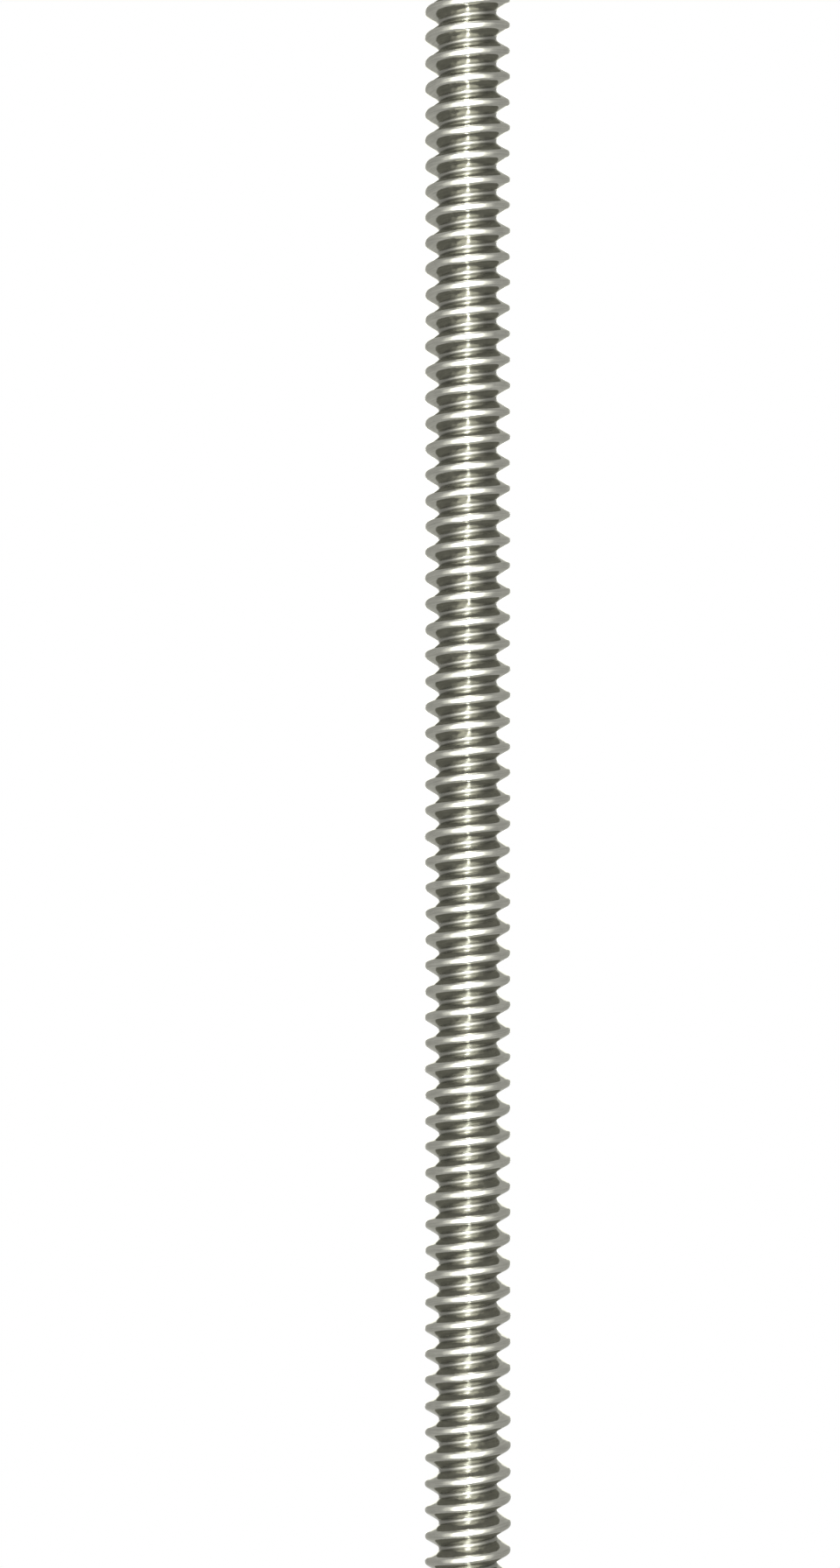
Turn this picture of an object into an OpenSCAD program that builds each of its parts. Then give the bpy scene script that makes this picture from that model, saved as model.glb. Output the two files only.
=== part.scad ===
// Threaded rod: one round steel rod with a coarse single-start thread cut from end to end.
// Sizes are in millimetres. The rod stands on its lower end face, its axis is +Z,
// and the origin is the centre of that face.

/* [Rod] */
// Length from one end face to the other
rod_length = 200; // [40:5:240]
// Diameter over the crests of the thread
major_d = 10; // [8:0.5:16]

/* [Thread] */
// Rise of the thread in one turn
pitch = 3; // [2.5:0.1:4]
// Angle between the two flanks of the groove
flank_angle = 60; // [45:1:75]
// Width of the land that is left on the crest
crest_width = 0.7; // [0.4:0.05:1]
// Width of the floor of the groove
root_width = 0.4; // [0.2:0.05:0.8]
// Way that the thread winds
thread_hand = "right"; // [right, left]
// Place of the groove on the lower end face, as an angle from +X
thread_start = 0; // [0:5:355]
// Flat steps in one turn of the groove
steps_per_turn = 18; // [12:1:20]

/* [Ends] */
// Height and width of the chamfer round each end
end_chamfer = 0.8; // [0.2:0.1:2]

/* [Hidden] */
steel_grey = [0.51, 0.51, 0.47];
turned_steps = 96;

// The section of the groove is a trapezium that goes on a little past the crest,
// where the mouths of two neighbouring turns keep half of the land between them.
major_r = major_d / 2;
flank_run = tan(flank_angle / 2);
thread_depth = (pitch - crest_width - root_width) / 2 / flank_run;
root_r = major_r - thread_depth;
mouth_r = major_r + crest_width / 4 / flank_run;
mouth_width = pitch - crest_width / 2;
groove_section = [
    [root_r, -root_width / 2],
    [root_r, root_width / 2],
    [mouth_r, mouth_width / 2],
    [mouth_r, -mouth_width / 2]
];

// The groove starts a whole turn below the rod and ends a turn above it.
groove_low = -pitch;
groove_steps = ceil((rod_length / pitch + 2) * steps_per_turn);

// A corner of the section, given as radius and height, carried up the helix by a number of steps
function along_helix(corner, step) =
    let (turn = step / steps_per_turn, angle = thread_start + 360 * turn)
    [corner[0] * cos(angle), corner[0] * sin(angle), groove_low + pitch * turn + corner[1]];

module groove() {
    corners = len(groove_section);
    points = [for (step = [0:groove_steps]) for (corner = groove_section) along_helix(corner, step)];
    sides = [
        for (step = [0:groove_steps - 1])
            for (c = [0:corners - 1])
                let (a = step * corners + c, b = step * corners + (c + 1) % corners)
                each [[a, b + corners, b], [a, a + corners, b + corners]]
    ];
    lower_end = [for (c = [0:corners - 1]) c];
    upper_end = [for (c = [corners - 1:-1:0]) groove_steps * corners + c];
    mirror([0, thread_hand == "left" ? 1 : 0, 0])
        polyhedron(points, concat(sides, [lower_end, upper_end]), convexity = 10);
}

// The round bar before threading, with its two chamfered ends
module turned_bar() {
    face_r = major_r - end_chamfer;
    rotate_extrude($fn = turned_steps)
        polygon([
            [0, 0],
            [face_r, 0],
            [major_r, end_chamfer],
            [major_r, rod_length - end_chamfer],
            [face_r, rod_length],
            [0, rod_length]
        ]);
}

module threaded_rod() {
    color(steel_grey)
        difference() {
            turned_bar();
            groove();
        }
}

threaded_rod();
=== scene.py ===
"""A bare steel rod with a coarse single-start screw thread, standing upright in soft studio light.

Lengths are in metres and angles in radians, unless a name says otherwise. The rod's length and diameter
come from the frame. The thread is worked out here as one helical surface, with the rounded corners and
the small unevenness that the plain solid leaves out.
"""

import logging
import math
from dataclasses import dataclass, field
from enum import Enum

import bpy
import numpy as np
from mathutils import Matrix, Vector


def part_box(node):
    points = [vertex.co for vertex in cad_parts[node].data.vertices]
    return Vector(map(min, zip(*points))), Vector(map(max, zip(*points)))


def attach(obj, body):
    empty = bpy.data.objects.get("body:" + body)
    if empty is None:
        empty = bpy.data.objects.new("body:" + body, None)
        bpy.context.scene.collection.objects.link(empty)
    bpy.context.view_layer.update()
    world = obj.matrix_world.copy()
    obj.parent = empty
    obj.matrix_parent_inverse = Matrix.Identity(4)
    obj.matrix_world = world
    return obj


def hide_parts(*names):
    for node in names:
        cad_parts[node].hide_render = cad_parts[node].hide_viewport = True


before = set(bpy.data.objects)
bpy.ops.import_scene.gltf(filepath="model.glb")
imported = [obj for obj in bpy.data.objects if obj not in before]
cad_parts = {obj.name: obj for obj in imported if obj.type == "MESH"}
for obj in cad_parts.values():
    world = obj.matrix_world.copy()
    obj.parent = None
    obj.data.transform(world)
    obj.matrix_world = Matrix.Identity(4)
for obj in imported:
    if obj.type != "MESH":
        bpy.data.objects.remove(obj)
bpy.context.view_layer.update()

log = logging.getLogger("threaded_rod")

MM = 0.001
FULL_TURN = 2.0 * math.pi
NODE = "threaded_rod"

# The photograph's frame in pixels, and the rod's place in it
PHOTO_WIDTH = 960
PHOTO_HEIGHT = 1791
AXIS_COLUMN = 534.5
PIXELS_PER_MM = 9.83

# The narrow lamps are a little cooler, because their light comes back by way of three warm reflections
KEY_COLOUR = (0.90, 0.93, 1.0)

# Blender's power for a panel is this many times its area times the brightness of its face
POWER_BY_BRIGHTNESS = math.pi

# Share of the plain reflection that is left where the steel is seen nearly edge on, because it is dull
EDGE_TINT = (0.76, 0.76, 0.72)

# Edges that turn by more than this stay sharp under smooth shading
SHARP_ANGLE = math.radians(38.0)


class RodEnd(Enum):
    """The two ends of the rod, with the direction that each end face looks in."""

    LOWER = -1
    UPPER = 1


class Face(Enum):
    """The places of the rod's two finishes in its list of materials."""

    THREAD = 0
    END = 1


@dataclass(frozen=True)
class ThreadForm:
    """Section of the thread in a plane through the axis: a 60 degree groove with rounded corners."""

    pitch: float = 3.0 * MM
    crest_width: float = 0.7 * MM
    root_width: float = 0.4 * MM
    flank_angle: float = math.radians(60.0)
    crest_radius: float = 0.50 * MM
    root_radius: float = 0.33 * MM
    crest_arc_points: int = 5
    root_arc_points: int = 3

    @property
    def depth(self) -> float:
        """Height of the crest above the root, which the two widths and the flanks' angle settle."""
        return (self.pitch - self.crest_width - self.root_width) / 2.0 / math.tan(self.flank_angle / 2.0)

    def section(self) -> tuple[np.ndarray, np.ndarray]:
        """Works out one pitch of the section, from the middle of the root to the next.

        Each corner is an arc that touches the flat and the flank. An arc of radius R that turns through
        t has moved R sin t along the rod and R (1 - cos t) away from the flat it left. The second half
        of the pitch is the first half mirrored about the crest.

        Returns:
            The points' places along the rod, from 0 to under one pitch, and their heights above the root.
        """
        slope = math.pi / 2.0 - self.flank_angle / 2.0
        tangent = math.tan(slope / 2.0)
        root_turn = np.linspace(0.0, slope, self.root_arc_points)
        root_start = self.root_width / 2.0 - self.root_radius * tangent
        root_along = root_start + self.root_radius * np.sin(root_turn)
        root_up = self.root_radius * (1.0 - np.cos(root_turn))
        crest_turn = np.linspace(slope, 0.0, self.crest_arc_points)
        crest_start = self.pitch / 2.0 - self.crest_width / 2.0 + self.crest_radius * tangent
        crest_along = crest_start - self.crest_radius * np.sin(crest_turn)
        crest_up = self.depth - self.crest_radius * (1.0 - np.cos(crest_turn))
        middle_along = (root_along[-1] + crest_along[0]) / 2.0
        middle_up = (root_up[-1] + crest_up[0]) / 2.0
        along = np.concatenate(([0.0], root_along, [middle_along], crest_along, [self.pitch / 2.0]))
        up = np.concatenate(([0.0], root_up, [middle_up], crest_up, [self.depth]))
        along = np.concatenate((along, self.pitch - along[-2:0:-1]))
        up = np.concatenate((up, up[-2:0:-1]))
        return along, up


@dataclass(frozen=True)
class ThreadWear:
    """Small unevenness of the crest, as a thread has that was cut fast and then handled.

    The crest's share of the wear falls off towards the root with the height to the power crest_focus.
    """

    seed: int = 5
    knots_per_turn: int = 14
    crest_focus: int = 3
    crest_loss: float = 0.05 * MM
    crest_sway: float = 0.05 * MM
    flank_sway: float = 0.02 * MM

    def wander(self, turns: np.ndarray, stream: int) -> np.ndarray:
        """Reads a smooth random line along the helix.

        Random knots stand at equal steps of the helix, and between two knots the value follows half a
        cosine wave from one to the other.

        Args:
            turns: Places along the helix, counted in turns.
            stream: Which of the lines to read.

        Returns:
            Values from -1 to 1, in the shape of turns.
        """
        place = (turns - turns.min()) * self.knots_per_turn
        last = int(place.max()) + 1
        knots = np.random.RandomState(self.seed + stream).uniform(-1.0, 1.0, last + 1)
        low = np.floor(place).astype(int)
        blend = (1.0 - np.cos(math.pi * (place - low))) / 2.0
        return knots[low] * (1.0 - blend) + knots[low + 1] * blend


@dataclass(frozen=True)
class TurnedSteel:
    """Bare steel with fine marks along the thread.

    The flanks are the brightest and smoothest part, the crest is a little darker and duller, and the root
    is the darkest and dullest. The flanks' lighter colour is painted light, and the root's darker colour
    is painted shade in the groove. The levels are shares of the thread's depth, from the root up. The
    cells are counts of noise cells in a metre along the thread and across it, and the details are levels
    of finer noise.
    """

    crest: tuple[float, float, float] = (0.275, 0.272, 0.240)
    # The flank colour is lighter as painted light, and the root colour is darker as painted shade in the
    # groove
    flank: tuple[float, float, float] = (0.308, 0.305, 0.270)
    root: tuple[float, float, float] = (0.162, 0.160, 0.142)
    crest_roughness: float = 0.25
    flank_roughness: float = 0.10
    root_roughness: float = 0.34
    root_level: float = 0.24
    crest_foot_level: float = 0.86
    crest_level: float = 0.97
    streak_cells: tuple[float, float] = (260.0, 5200.0)
    streak_detail: float = 4.0
    patch_cells: tuple[float, float] = (520.0, 900.0)
    patch_detail: float = 2.0
    noise_span: tuple[float, float] = (0.30, 0.70)
    streak_shade: tuple[float, float] = (0.88, 1.08)
    patch_shade: tuple[float, float] = (0.94, 1.05)
    roughness_change: tuple[float, float] = (-0.03, 0.05)
    patch_mark: float = 1.6
    bump_strength: float = 0.28
    bump_height: float = 0.005 * MM

    def dress(self, name: str, form: ThreadForm, radius: float) -> bpy.types.Material:
        """Builds the thread's material.

        Colour and roughness go from root to crest by the distance from the axis, and streaks of noise
        that are drawn out along the thread vary both. The colour's change by height is painted light on
        the flanks and painted shade in the root.

        Args:
            name: The material's name.
            form: The thread's section, which gives the depth that the change runs over.
            radius: The rod's radius over the crests.

        Returns:
            The finished material.
        """
        sheet = NodeSheet(name)
        height = sheet.height_in_thread(radius - form.depth, radius)
        streak = sheet.track_noise(self.streak_cells, self.streak_detail)
        patch = sheet.track_noise(self.patch_cells, self.patch_detail)
        levels = (0.0, self.root_level, self.crest_foot_level, self.crest_level)
        # Colour by height in the thread: painted light on the flanks and painted shade in the root
        tone_with_painted_light_and_shade = sheet.ramp(height, tuple(zip(levels, (self.root, self.flank, self.flank, self.crest))))
        shade = sheet.span(streak, self.noise_span, self.streak_shade)
        cloud = sheet.span(patch, self.noise_span, self.patch_shade)
        colour = sheet.scaled_colour(tone_with_painted_light_and_shade, sheet.math("MULTIPLY", shade, cloud))
        dullness = (self.root_roughness, self.flank_roughness, self.flank_roughness, self.crest_roughness)
        rough_by_height = sheet.curve(height, tuple(zip(levels, dullness)))
        rough_change = sheet.span(streak, self.noise_span, self.roughness_change)
        roughness = sheet.math("ADD", rough_by_height, rough_change)
        marks = sheet.math("ADD", streak, sheet.math("MULTIPLY", patch, self.patch_mark))
        sheet.steel(colour, roughness, marks, self.bump_strength, self.bump_height)
        return sheet.material


@dataclass(frozen=True)
class FacedSteel:
    """The end faces: cut square, with fine rings left by the tool.

    The cells are counts of noise cells in a metre. Rings and clouds shade the colour by their mean, which
    is mean_share of their sum.
    """

    colour: tuple[float, float, float] = (0.34, 0.335, 0.295)
    roughness: tuple[float, float] = (0.29, 0.40)
    ring_cells: float = 6500.0
    ring_detail: float = 3.0
    cloud_cells: float = 900.0
    mean_share: float = 0.5
    noise_span: tuple[float, float] = (0.30, 0.70)
    shade: tuple[float, float] = (0.80, 1.10)
    bump_strength: float = 0.4
    bump_height: float = 0.01 * MM

    def dress(self, name: str) -> bpy.types.Material:
        """Builds the material of the end faces, with rings about the axis.

        Args:
            name: The material's name.

        Returns:
            The finished material.
        """
        sheet = NodeSheet(name)
        rings = sheet.ring_noise(self.ring_cells, self.ring_detail)
        cloud = sheet.object_noise(self.cloud_cells)
        mean = sheet.math("MULTIPLY", sheet.math("ADD", rings, cloud), self.mean_share)
        colour = sheet.scaled_colour(self.colour, sheet.span(mean, self.noise_span, self.shade))
        roughness = sheet.span(rings, self.noise_span, self.roughness)
        sheet.steel(colour, roughness, rings, self.bump_strength, self.bump_height)
        return sheet.material


class NodeSheet:
    """One material's nodes, with the few building steps that the finishes share."""

    # Strength of each finer level of the noise along the thread, as a share of the level before it
    FINER_NOISE_SHARE = 0.55

    def __init__(self, name: str) -> None:
        """Starts an empty material.

        Args:
            name: The material's name.
        """
        self.material = bpy.data.materials.new(name)
        self.material.use_nodes = True
        self.tree = self.material.node_tree
        self.tree.nodes.clear()

    def add(self, kind: str, **settings: object) -> bpy.types.Node:
        """Adds a node and sets its plain properties.

        Args:
            kind: Blender's name of the node's type.
            **settings: Properties of the node and their values.

        Returns:
            The new node.
        """
        node = self.tree.nodes.new(kind)
        for key, value in settings.items():
            setattr(node, key, value)
        return node

    def join(
        self,
        source: bpy.types.NodeSocket | float | tuple[float, float, float],
        target: bpy.types.NodeSocket,
    ) -> None:
        """Links a socket to a target, or sets the target where the source is a plain value.

        Args:
            source: An output socket, a number or a colour.
            target: The input socket that takes it.
        """
        if isinstance(source, bpy.types.NodeSocket):
            self.tree.links.new(source, target)
        else:
            target.default_value = source

    def math(
        self, operation: str, first: bpy.types.NodeSocket | float, second: bpy.types.NodeSocket | float
    ) -> bpy.types.NodeSocket:
        """Does one sum on two values.

        Args:
            operation: Blender's name of the sum.
            first: The first value.
            second: The second value.

        Returns:
            The socket that carries the result.
        """
        node = self.add("ShaderNodeMath", operation=operation)
        self.join(first, node.inputs[0])
        self.join(second, node.inputs[1])
        return node.outputs[0]

    def span(
        self, value: bpy.types.NodeSocket, source: tuple[float, float], target: tuple[float, float]
    ) -> bpy.types.NodeSocket:
        """Stretches one range of values onto another and holds it there.

        Args:
            value: The value to stretch.
            source: Lowest and highest value that comes in.
            target: The two values that they become.

        Returns:
            The socket that carries the result.
        """
        node = self.add("ShaderNodeMapRange", clamp=True)
        self.join(value, node.inputs["Value"])
        node.inputs["From Min"].default_value = source[0]
        node.inputs["From Max"].default_value = source[1]
        node.inputs["To Min"].default_value = target[0]
        node.inputs["To Max"].default_value = target[1]
        return node.outputs["Result"]

    def ramp(
        self, value: bpy.types.NodeSocket, stops: tuple[tuple[float, tuple[float, float, float]], ...]
    ) -> bpy.types.NodeSocket:
        """Turns a value from 0 to 1 into a colour.

        Args:
            value: The value.
            stops: Places and colours, in rising order.

        Returns:
            The socket that carries the colour.
        """
        node = self.add("ShaderNodeValToRGB")
        points = node.color_ramp.elements
        for _ in stops[2:]:
            points.new(0.5)
        for point, (place, colour) in zip(points, stops):
            point.position = place
            point.color = (*colour, 1.0)
        self.join(value, node.inputs["Fac"])
        return node.outputs["Color"]

    def curve(
        self, value: bpy.types.NodeSocket, stops: tuple[tuple[float, float], ...]
    ) -> bpy.types.NodeSocket:
        """Turns a value from 0 to 1 into another by straight pieces between stops.

        Args:
            value: The value.
            stops: Places and values, in rising order.

        Returns:
            The socket that carries the result.
        """
        return self.ramp(value, tuple((place, (level, level, level)) for place, level in stops))

    def axis_distance(self) -> bpy.types.NodeSocket:
        """Gives the distance from the rod's axis, as the length of the Object coordinate with no Z."""
        place = self.add("ShaderNodeTexCoord").outputs["Object"]
        flat = self.add("ShaderNodeVectorMath", operation="MULTIPLY")
        self.join(place, flat.inputs[0])
        flat.inputs[1].default_value = (1.0, 1.0, 0.0)
        length = self.add("ShaderNodeVectorMath", operation="LENGTH")
        self.join(flat.outputs["Vector"], length.inputs[0])
        return length.outputs["Value"]

    def height_in_thread(self, root_radius: float, crest_radius: float) -> bpy.types.NodeSocket:
        """Gives the height above the root as a share of the thread's depth.

        Args:
            root_radius: Distance of the root from the axis.
            crest_radius: Distance of the crest from the axis.

        Returns:
            The socket that carries the share.
        """
        return self.span(self.axis_distance(), (root_radius, crest_radius), (0.0, 1.0))

    def track_noise(self, cells: tuple[float, float], detail: float) -> bpy.types.NodeSocket:
        """Makes noise that is laid along the thread.

        The thread's own map gives the distance along the helix and the distance across the section.
        Each is multiplied by its own count, so a small first count draws the noise out into streaks.

        Args:
            cells: Cells of noise in a metre along the thread and across it.
            detail: Levels of finer noise added.

        Returns:
            The socket that carries the noise, from 0 to 1.
        """
        track = self.add("ShaderNodeUVMap", uv_map=ThreadMaps.TRACK).outputs["UV"]
        scale = self.add("ShaderNodeVectorMath", operation="MULTIPLY")
        self.join(track, scale.inputs[0])
        scale.inputs[1].default_value = (*cells, 0.0)
        noise = self.add("ShaderNodeTexNoise", noise_dimensions="2D")
        self.join(scale.outputs["Vector"], noise.inputs["Vector"])
        noise.inputs["Scale"].default_value = 1.0
        noise.inputs["Detail"].default_value = detail
        noise.inputs["Roughness"].default_value = self.FINER_NOISE_SHARE
        return noise.outputs[0]

    def object_noise(self, scale: float) -> bpy.types.NodeSocket:
        """Makes even noise in Object coordinates.

        Args:
            scale: Cells of noise in a metre.

        Returns:
            The socket that carries the noise, from 0 to 1.
        """
        noise = self.add("ShaderNodeTexNoise", noise_dimensions="3D")
        self.join(self.add("ShaderNodeTexCoord").outputs["Object"], noise.inputs["Vector"])
        noise.inputs["Scale"].default_value = scale
        return noise.outputs[0]

    def ring_noise(self, scale: float, detail: float) -> bpy.types.NodeSocket:
        """Makes rings about the axis, as noise of the distance from it.

        Args:
            scale: Cells of noise in a metre of radius.
            detail: Levels of finer noise added.

        Returns:
            The socket that carries the noise, from 0 to 1.
        """
        noise = self.add("ShaderNodeTexNoise", noise_dimensions="1D")
        self.join(self.math("MULTIPLY", self.axis_distance(), scale), noise.inputs["W"])
        noise.inputs["Scale"].default_value = 1.0
        noise.inputs["Detail"].default_value = detail
        return noise.outputs[0]

    def scaled_colour(
        self, colour: bpy.types.NodeSocket | tuple[float, float, float], factor: bpy.types.NodeSocket
    ) -> bpy.types.NodeSocket:
        """Multiplies a colour by a number.

        Args:
            colour: The colour, as a socket or as three numbers.
            factor: The number.

        Returns:
            The socket that carries the result.
        """
        node = self.add("ShaderNodeVectorMath", operation="SCALE")
        self.join(colour, node.inputs[0])
        self.join(factor, node.inputs["Scale"])
        return node.outputs["Vector"]

    def steel(
        self,
        colour: bpy.types.NodeSocket,
        roughness: bpy.types.NodeSocket,
        marks: bpy.types.NodeSocket,
        bump_strength: float,
        bump_height: float,
    ) -> None:
        """Ends the material with a metal surface.

        Args:
            colour: The metal's colour.
            roughness: Its roughness.
            marks: The height of its fine marks.
            bump_strength: Share of the marks that shows.
            bump_height: Height of the marks.
        """
        surface = self.add("ShaderNodeBsdfPrincipled")
        surface.inputs["Metallic"].default_value = 1.0
        surface.inputs["Specular Tint"].default_value = (*EDGE_TINT, 1.0)
        self.join(colour, surface.inputs["Base Color"])
        self.join(roughness, surface.inputs["Roughness"])
        bump = self.add("ShaderNodeBump")
        bump.inputs["Strength"].default_value = bump_strength
        bump.inputs["Distance"].default_value = bump_height
        self.join(marks, bump.inputs["Height"])
        self.join(bump.outputs["Normal"], surface.inputs["Normal"])
        output = self.add("ShaderNodeOutputMaterial")
        self.join(surface.outputs["BSDF"], output.inputs["Surface"])


@dataclass(frozen=True)
class ThreadMaps:
    """The rod's two UV maps: the track, in metres, and a layout of the whole surface for baking.

    The layout unrolls the thread into rows of a few turns each, one above the other, and puts the two end
    faces side by side over them. Each face has face_room of its own radii to either side of its centre.
    """

    turns: int
    columns: int
    radius: float
    across: tuple[float, ...]
    turns_in_row: int = 3
    face_rows: int = 2
    face_room: float = 1.5
    margin: float = 0.03

    TRACK = "thread_track"
    LAYOUT = "OFBake"

    def track(self, turn: np.ndarray, point: np.ndarray, column: np.ndarray) -> np.ndarray:
        """Gives the distance along the helix, as turns times the rod's circumference, and across it.

        Args:
            turn: The turn that the point belongs to.
            point: Its place in the section, counted in points.
            column: Its column, counted on past the last one where a turn ends.

        Returns:
            The two distances, by point.
        """
        along = (turn + column / self.columns) * FULL_TURN * self.radius
        return np.stack(np.broadcast_arrays(along, np.array(self.across)[point]), -1).reshape(-1, 2)

    def layout(self, turn: np.ndarray, point: np.ndarray, column: np.ndarray) -> np.ndarray:
        """Gives the place on the layout.

        A row holds turns_in_row turns side by side. Within it, the height is the share of the way across
        the section, drawn in a little so that rows don't touch.

        Args:
            turn: The turn that the point belongs to.
            point: Its place in the section, counted in points.
            column: Its column, counted on past the last one where a turn ends.

        Returns:
            The two shares of the layout's width and height, by point.
        """
        row, place = np.divmod(turn, self.turns_in_row)
        along = (place + column / self.columns) / self.turns_in_row
        share = self.margin + (1.0 - 2.0 * self.margin) * np.array(self.across)[point] / self.across[-1]
        return np.stack(np.broadcast_arrays(along, (row + share) / self.rows), -1).reshape(-1, 2)

    @property
    def rows(self) -> int:
        """Rows of the layout, with those that the end faces take."""
        return math.ceil(self.turns / self.turns_in_row) + self.face_rows

    def face_layout(self, points: np.ndarray, end: RodEnd) -> np.ndarray:
        """Gives an end face's place on the layout: a disc, with the lower face's left of the upper's.

        Args:
            points: Points of the face.
            end: Which end the face closes.

        Returns:
            The two shares of the layout's width and height, by point.
        """
        reach = (1.0 - 2.0 * self.margin) * self.face_rows / 2.0 / self.rows
        centre = ((2 + end.value) * self.face_room * reach, 1.0 - self.face_rows / 2.0 / self.rows)
        return np.array(centre) + points[..., :2] / self.radius * reach


@dataclass
class ThreadedRod:
    """The whole rod as one closed surface, with its thread from end to end."""

    length: float
    radius: float
    form: ThreadForm = field(default_factory=ThreadForm)
    wear: ThreadWear = field(default_factory=ThreadWear)
    thread_finish: TurnedSteel = field(default_factory=TurnedSteel)
    end_finish: FacedSteel = field(default_factory=FacedSteel)
    end_chamfer: float = 0.8 * MM
    columns: int = 66
    face_rings: tuple[float, ...] = (0.86, 0.60, 0.30)

    def build(self) -> bpy.types.Object:
        """Returns:
            The rod's object.
        """
        points, triangles, maps, faces = self.surface()
        mesh = bpy.data.meshes.new("thread_surface")
        mesh.from_pydata(points, [], triangles)
        mesh.materials.append(self.thread_finish.dress("turned_steel", self.form, self.radius))
        mesh.materials.append(self.end_finish.dress("faced_steel"))
        mesh.polygons.foreach_set("material_index", faces)
        mesh.polygons.foreach_set("use_smooth", np.ones(len(triangles), bool))
        for name, corners in maps.items():
            mesh.uv_layers.new(name=name).data.foreach_set("uv", corners.ravel())
        mesh.validate()
        mesh.set_sharp_from_angle(angle=SHARP_ANGLE)
        rod = bpy.data.objects.new("rod", mesh)
        bpy.context.scene.collection.objects.link(rod)
        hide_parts(NODE)
        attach(rod, "root")
        log.info("rod: %d triangles, %.1f mm long", len(triangles), self.length / MM)
        return rod

    @property
    def turns(self) -> int:
        """Turns of the helix that are laid out, with one to spare at each end."""
        return math.ceil(self.length / self.form.pitch) + 2

    def helix_grid(self) -> tuple[np.ndarray, np.ndarray]:
        """Lays the section out along the helix.

        A row of the grid is one point of the section in turn k, counted from 0. In column j of N, at the
        angle 2 pi j / N, it lies at the height pitch (k - 1 + j / N) + s, where s is its place in the
        section. Its radius is the crest's less its depth under the crest. The wear lowers the crest and
        sways it along the rod, and sways the flanks by less. A chamfer is a cone of 45 degrees at each
        end, and the radius is the smaller of the two.

        Returns:
            Height and radius of the points, by row and column.
        """
        along, up = self.form.section()
        turn = np.repeat(np.arange(self.turns) - 1, len(along))
        helix_turn = turn[:, None] + (np.arange(self.columns) / self.columns)[None, :]
        place = np.tile(along, self.turns)
        lift = np.tile(up, self.turns)[:, None] / self.form.depth
        near_crest = lift ** self.wear.crest_focus
        loss = self.wear.crest_loss * (1.0 + self.wear.wander(helix_turn, 0)) / 2.0
        sway = self.wear.crest_sway * self.wear.wander(helix_turn, 1)
        flank = self.wear.flank_sway * self.wear.wander(helix_turn, 2)
        height = self.form.pitch * helix_turn + place[:, None] + sway * near_crest + flank * lift
        radius = self.radius - self.form.depth * (1.0 - lift) - loss * near_crest
        envelope = self.radius - self.end_chamfer + np.minimum(height, self.length - height)
        radius = np.minimum(radius, np.maximum(envelope, self.radius - self.end_chamfer))
        return height, radius

    def maps(self) -> ThreadMaps:
        """Measures the way across the section, to the next root's middle, for the rod's maps."""
        along, up = self.form.section()
        steps = np.hypot(np.diff(along, append=self.form.pitch), np.diff(up, append=0.0))
        return ThreadMaps(self.turns, self.columns, self.radius, (0.0, *np.cumsum(steps)))

    def surface(self) -> tuple[np.ndarray, np.ndarray, dict[str, np.ndarray], np.ndarray]:
        """Cuts the helical grid off square at both ends and closes it with flat faces.

        In each column the rows below the lower end become one point on it, which keeps the radius that
        the section has there, and the same at the upper end. Cells whose corners have met are dropped.
        The last column joins the first one a whole turn further on.

        Returns:
            Points, triangles, the UV maps' values by triangle corner, and each triangle's material.
        """
        height, radius = self.helix_grid()
        rows, columns = height.shape
        section_points = rows // self.turns
        column = np.arange(columns)
        lowest = (height <= 0.0).sum(axis=0) - 1
        highest = (height < self.length).sum(axis=0)
        rim_radii = {}
        for end, row, level in ((RodEnd.LOWER, lowest, 0.0), (RodEnd.UPPER, highest - 1, self.length)):
            gap = height[row + 1, column] - height[row, column]
            part = (level - height[row, column]) / gap
            rim_radii[end] = radius[row, column] * (1.0 - part) + radius[row + 1, column] * part
        radius[lowest, column] = rim_radii[RodEnd.LOWER]
        radius[highest, column] = rim_radii[RodEnd.UPPER]
        height = np.clip(height, 0.0, self.length)
        angle = FULL_TURN * column / columns
        points = np.stack((radius * np.cos(angle), radius * np.sin(angle), height), -1).reshape(-1, 3)

        maps = self.maps()
        row = np.arange(rows - 1)[:, None]
        turn, point = np.divmod(row, section_points)
        here = np.broadcast_to(column, (rows - 1, columns))
        skip = np.where(here == columns - 1, section_points, 0)
        corners, tracks, layouts = [], [], []
        for step_row, step_column in ((0, 0), (0, 1), (1, 1), (1, 0)):
            line = (here + step_column) % columns
            held = np.clip(row + step_row + skip * step_column, lowest[line], highest[line])
            corners.append((held * columns + line).ravel())
            tracks.append(maps.track(turn, point + step_row, here + step_column))
            layouts.append(maps.layout(turn, point + step_row, here + step_column))
        triangles, track, layout = (
            np.concatenate((np.stack((a, b, c), 1), np.stack((a, c, d), 1)))
            for a, b, c, d in (corners, tracks, layouts)
        )
        kept = (triangles != np.roll(triangles, 1, axis=1)).all(axis=1)
        triangles, track, layout = triangles[kept], track[kept], layout[kept]
        faces = np.full(len(triangles), Face.THREAD.value)

        for end, rim_row in ((RodEnd.LOWER, lowest), (RodEnd.UPPER, highest)):
            rim = rim_row * columns + column
            cap_points, cap_triangles = self.end_face(points[rim], rim, len(points), end)
            points = np.concatenate((points, cap_points))
            triangles = np.concatenate((triangles, cap_triangles))
            track = np.concatenate((track, points[cap_triangles][..., :2]))
            layout = np.concatenate((layout, maps.face_layout(points[cap_triangles], end)))
            faces = np.concatenate((faces, np.full(len(cap_triangles), Face.END.value)))
        used, triangles = np.unique(triangles, return_inverse=True)
        named = {ThreadMaps.TRACK: track, ThreadMaps.LAYOUT: layout}
        return points[used], triangles.reshape(-1, 3), named, faces

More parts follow.
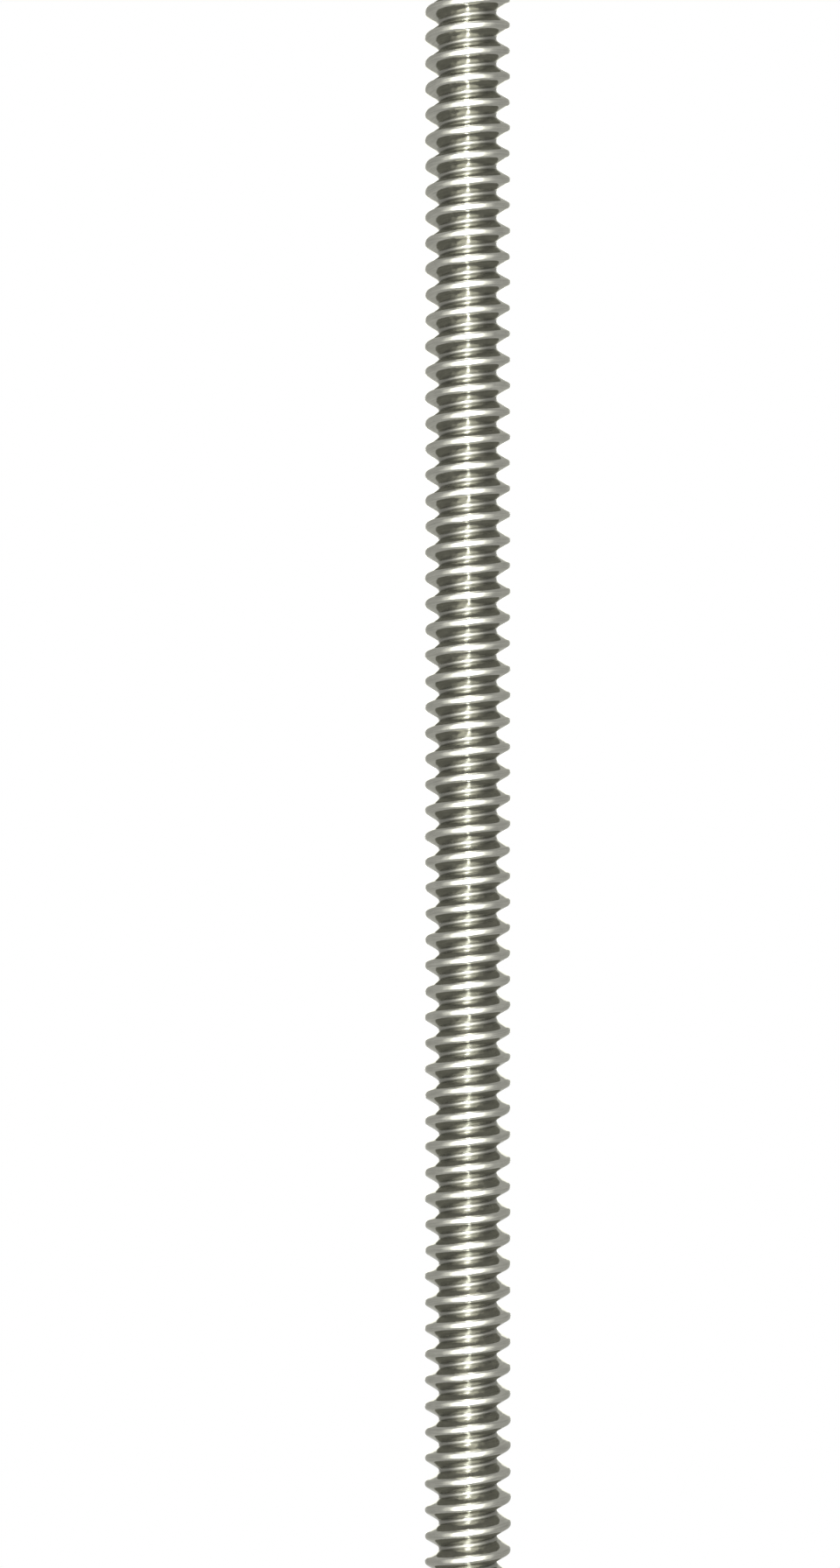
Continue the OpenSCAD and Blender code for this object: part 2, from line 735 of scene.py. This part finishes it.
    def end_face(
        self, rim_points: np.ndarray, rim: np.ndarray, first: int, end: RodEnd
    ) -> tuple[np.ndarray, np.ndarray]:
        """Closes one end with rings that shrink from the rim to the axis.

        A ring is the rim scaled by its share of the radius, and the last one meets a point on the axis.

        Args:
            rim_points: The rim's points, by column.
            rim: Their places in the list of points.
            first: The place that the first new point will have.
            end: Which end is closed.

        Returns:
            The new points and the triangles, which face outwards.
        """
        columns = len(rim)
        shares = np.array(self.face_rings)[:, None, None]
        rings = rim_points[None] * (shares * (1.0, 1.0, 0.0) + (0.0, 0.0, 1.0))
        middle = np.array([[0.0, 0.0, rim_points[0, 2]]])
        centre = first + len(self.face_rings) * columns
        ids = np.concatenate((rim[None], np.arange(first, centre).reshape(-1, columns)))
        outer, inner = ids[:-1], ids[1:]
        outer_next, inner_next = np.roll(outer, -1, 1), np.roll(inner, -1, 1)
        bands = np.concatenate(
            (
                np.stack((outer, outer_next, inner_next), -1).reshape(-1, 3),
                np.stack((outer, inner_next, inner), -1).reshape(-1, 3),
                np.stack((ids[-1], np.roll(ids[-1], -1), np.full(columns, centre)), -1),
            )
        )
        if end is RodEnd.LOWER:
            bands = bands[:, ::-1]
        return np.concatenate((rings.reshape(-1, 3), middle)), bands


class Lighting(Enum):
    """Which rays meet the full white surroundings, by the outputs of Blender's Light Path node."""

    CAMERA = "Is Camera Ray"
    GLOSSY = "Is Glossy Ray"
    TRANSMISSION = "Is Transmission Ray"


@dataclass(frozen=True)
class SoftPanel:
    """A flat lamp that faces the rod, placed by its direction from the rod.

    The azimuth is counted from straight in front, towards the camera's right, and the elevation from
    level. The radiance is the brightness of the lamp's face, where the white surroundings have 1.
    """

    name: str
    azimuth: float
    elevation: float
    distance: float
    width: float
    height: float
    radiance: float
    colour: tuple[float, float, float] = (1.0, 1.0, 0.97)

    def hang(self, target: Vector) -> bpy.types.Object:
        """Puts the lamp up, turned to the target.

        Args:
            target: The point that the lamp faces.

        Returns:
            The lamp's object.
        """
        data = bpy.data.lights.new(self.name, "AREA")
        data.shape = "RECTANGLE"
        data.size = self.width
        data.size_y = self.height
        data.color = self.colour
        data.energy = POWER_BY_BRIGHTNESS * self.width * self.height * self.radiance
        lamp = bpy.data.objects.new(self.name, data)
        bpy.context.scene.collection.objects.link(lamp)
        level = math.cos(self.elevation)
        away = Vector(
            (math.sin(self.azimuth) * level, -math.cos(self.azimuth) * level, math.sin(self.elevation))
        )
        lamp.location = target + away * self.distance
        lamp.rotation_euler = away.to_track_quat("Z", "Y").to_euler()
        lamp.visible_camera = False
        return lamp


@dataclass
class Studio:
    """White surroundings, a pale floor and soft panels round the rod.

    The surroundings have the brightness surround to the camera and in reflections, and fill as light on
    matt surfaces. The floor is matt up to the first distance of fade and clear from the second.
    """

    target: Vector
    surround: float = 1.0
    fill: float = 0.45
    floor_radius: float = 0.5
    floor_rings: int = 6
    floor_spokes: int = 64
    floor_colour: tuple[float, float, float] = (0.86, 0.86, 0.85)
    fade: tuple[float, float] = (0.030, 0.058)

    # Name, azimuth, elevation, distance, width, height, radiance and, where it isn't the usual one, colour
    panels: tuple[SoftPanel, ...] = (
        SoftPanel("front_wide", 0.0, 0.0, 0.95, 1.95, 1.85, 4.52),
        SoftPanel("side_left", math.radians(-58.0), 0.0, 0.95, 0.38, 1.20, 1.0),
        SoftPanel("side_right", math.radians(58.0), 0.0, 0.95, 0.38, 1.20, 1.0),
        SoftPanel("key_high", 0.0, math.radians(20.0), 0.80, 0.09, 0.76, 35.65, KEY_COLOUR),
        SoftPanel("key_low", 0.0, math.radians(-20.0), 0.80, 0.22, 0.50, 45.84, KEY_COLOUR),
        SoftPanel("back", math.radians(180.0), math.radians(8.0), 0.95, 0.60, 0.60, 1.91),
        SoftPanel("top", math.radians(-25.0), math.radians(78.0), 0.9, 0.5, 0.5, 2.55),
    )

    def build(self) -> None:
        """Builds the world, the floor and the lamps."""
        self.build_world()
        self.build_floor()
        for panel in self.panels:
            panel.hang(self.target)
            log.info("lamp: %s", panel.name)

    def build_world(self) -> None:
        """Makes the world white to the camera and in reflections, and dimmer as light on the floor."""
        world = bpy.data.worlds.new("white_room")
        bpy.context.scene.world = world
        world.use_nodes = True
        tree = world.node_tree
        tree.nodes.clear()
        path = tree.nodes.new("ShaderNodeLightPath")
        seen = self.any_ray(tree, path)
        strength = tree.nodes.new("ShaderNodeMapRange")
        tree.links.new(seen, strength.inputs["Value"])
        strength.inputs["To Min"].default_value = self.fill
        strength.inputs["To Max"].default_value = self.surround
        background = tree.nodes.new("ShaderNodeBackground")
        background.inputs["Color"].default_value = (1.0, 1.0, 1.0, 1.0)
        tree.links.new(strength.outputs["Result"], background.inputs["Strength"])
        output = tree.nodes.new("ShaderNodeOutputWorld")
        tree.links.new(background.outputs["Background"], output.inputs["Surface"])

    @staticmethod
    def any_ray(tree: bpy.types.NodeTree, path: bpy.types.Node) -> bpy.types.NodeSocket:
        """Gives 1 where the ray is of one of the kinds that see the white room.

        Args:
            tree: The nodes to add to.
            path: The Light Path node.

        Returns:
            The socket that carries 1 or 0.
        """
        total = path.outputs[Lighting.CAMERA.value]
        for kind in (Lighting.GLOSSY, Lighting.TRANSMISSION):
            larger = tree.nodes.new("ShaderNodeMath")
            larger.operation = "MAXIMUM"
            tree.links.new(total, larger.inputs[0])
            tree.links.new(path.outputs[kind.value], larger.inputs[1])
            total = larger.outputs[0]
        return total

    def build_floor(self) -> bpy.types.Object:
        """Lays a pale disc under the rod, which takes its shadow and fades into the white room.

        The disc is a grid of radius by angle about a point in the middle. Ring i of n has the share
        (i / n) squared of the floor's radius, so that the rings are closest under the rod.

        Returns:
            The floor's object.
        """
        rings, spokes = self.floor_rings, self.floor_spokes
        share = np.linspace(0.0, 1.0, rings + 1)[1:] ** 2
        angle = FULL_TURN * np.arange(spokes) / spokes
        reach = self.floor_radius * share[:, None]
        ring_points = np.stack(
            (reach * np.cos(angle), reach * np.sin(angle), np.zeros((rings, spokes))), -1
        ).reshape(-1, 3)
        points = np.concatenate((np.zeros((1, 3)), ring_points))
        ids = 1 + np.arange(rings * spokes).reshape(rings, spokes)
        inner, outer = ids[:-1], ids[1:]
        inner_next, outer_next = np.roll(inner, -1, 1), np.roll(outer, -1, 1)
        bands = np.stack((inner, outer, outer_next, inner_next), -1).reshape(-1, 4).tolist()
        fan = np.stack((np.zeros(spokes, int), ids[0], np.roll(ids[0], -1)), -1).tolist()
        mesh = bpy.data.meshes.new("floor_disc")
        mesh.from_pydata(points, [], fan + bands)
        mesh.materials.append(self.floor_material())
        floor = bpy.data.objects.new("floor", mesh)
        bpy.context.scene.collection.objects.link(floor)
        log.info("floor: radius %.0f mm", self.floor_radius / MM)
        return floor

    def floor_material(self) -> bpy.types.Material:
        """Makes the floor matt near the rod and clear further out, where the white room shows.

        Reflections pass through it, so that the rod mirrors the room and the lamps below its own level.

        Returns:
            The floor's material.
        """
        sheet = NodeSheet("pale_floor")
        tree = sheet.tree
        place = sheet.add("ShaderNodeTexCoord").outputs["Object"]
        length = sheet.add("ShaderNodeVectorMath", operation="LENGTH")
        sheet.join(place, length.inputs[0])
        clear = sheet.add("ShaderNodeMapRange", interpolation_type="SMOOTHSTEP")
        sheet.join(length.outputs["Value"], clear.inputs["Value"])
        clear.inputs["From Min"].default_value = self.fade[0]
        clear.inputs["From Max"].default_value = self.fade[1]
        path = sheet.add("ShaderNodeLightPath")
        gone = sheet.math("MAXIMUM", clear.outputs["Result"], path.outputs[Lighting.GLOSSY.value])
        matt = sheet.add("ShaderNodeBsdfDiffuse")
        matt.inputs["Color"].default_value = (*self.floor_colour, 1.0)
        glass = sheet.add("ShaderNodeBsdfTransparent")
        mix = sheet.add("ShaderNodeMixShader")
        tree.links.new(gone, mix.inputs["Fac"])
        tree.links.new(matt.outputs["BSDF"], mix.inputs[1])
        tree.links.new(glass.outputs["BSDF"], mix.inputs[2])
        output = sheet.add("ShaderNodeOutputMaterial")
        tree.links.new(mix.outputs["Shader"], output.inputs["Surface"])
        return sheet.material


@dataclass
class PhotoCamera:
    """The camera at the photograph's viewing angle: close in front, a little below the rod's middle."""

    distance: float = 0.64
    eye_height: float = 86.4 * MM
    centre_height: float = 99.1 * MM
    sensor: float = 36.0
    clip: tuple[float, float] = (0.01, 20.0)

    def build(self) -> bpy.types.Object:
        """Sets the camera up.

        The rod's axis stands right of the frame's centre, so the camera stands left of it. The lens is
        set so that a millimetre on the axis covers the photograph's pixels for one.

        Returns:
            The camera's object.
        """
        sideways = (AXIS_COLUMN - PHOTO_WIDTH / 2.0) / PIXELS_PER_MM * MM
        frame_height = PHOTO_HEIGHT / PIXELS_PER_MM * MM
        rise = self.centre_height - self.eye_height
        reach = math.hypot(self.distance, rise)
        data = bpy.data.cameras.new("photo_camera")
        data.sensor_fit = "AUTO"
        data.sensor_width = self.sensor
        data.lens = self.sensor * reach / frame_height
        data.clip_start, data.clip_end = self.clip
        camera = bpy.data.objects.new("photo_camera", data)
        bpy.context.scene.collection.objects.link(camera)
        camera.location = (-sideways, -self.distance, self.eye_height)
        camera.rotation_euler = (math.pi / 2.0 + math.atan2(rise, self.distance), 0.0, 0.0)
        bpy.context.scene.camera = camera
        log.info("camera: lens %.1f mm at %.0f mm", data.lens, self.distance / MM)
        return camera


def main() -> None:
    """Builds the camera, the rod and the studio, in that order."""
    logging.basicConfig(level=logging.INFO, format="%(name)s: %(message)s")
    bpy.context.scene.view_settings.view_transform = "Standard"
    low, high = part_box(NODE)
    PhotoCamera().build()
    ThreadedRod(length=high.z - low.z, radius=(high.x - low.x) / 2.0).build()
    Studio(target=Vector((0.0, 0.0, (low.z + high.z) / 2.0))).build()


if __name__ == "__main__":
    main()
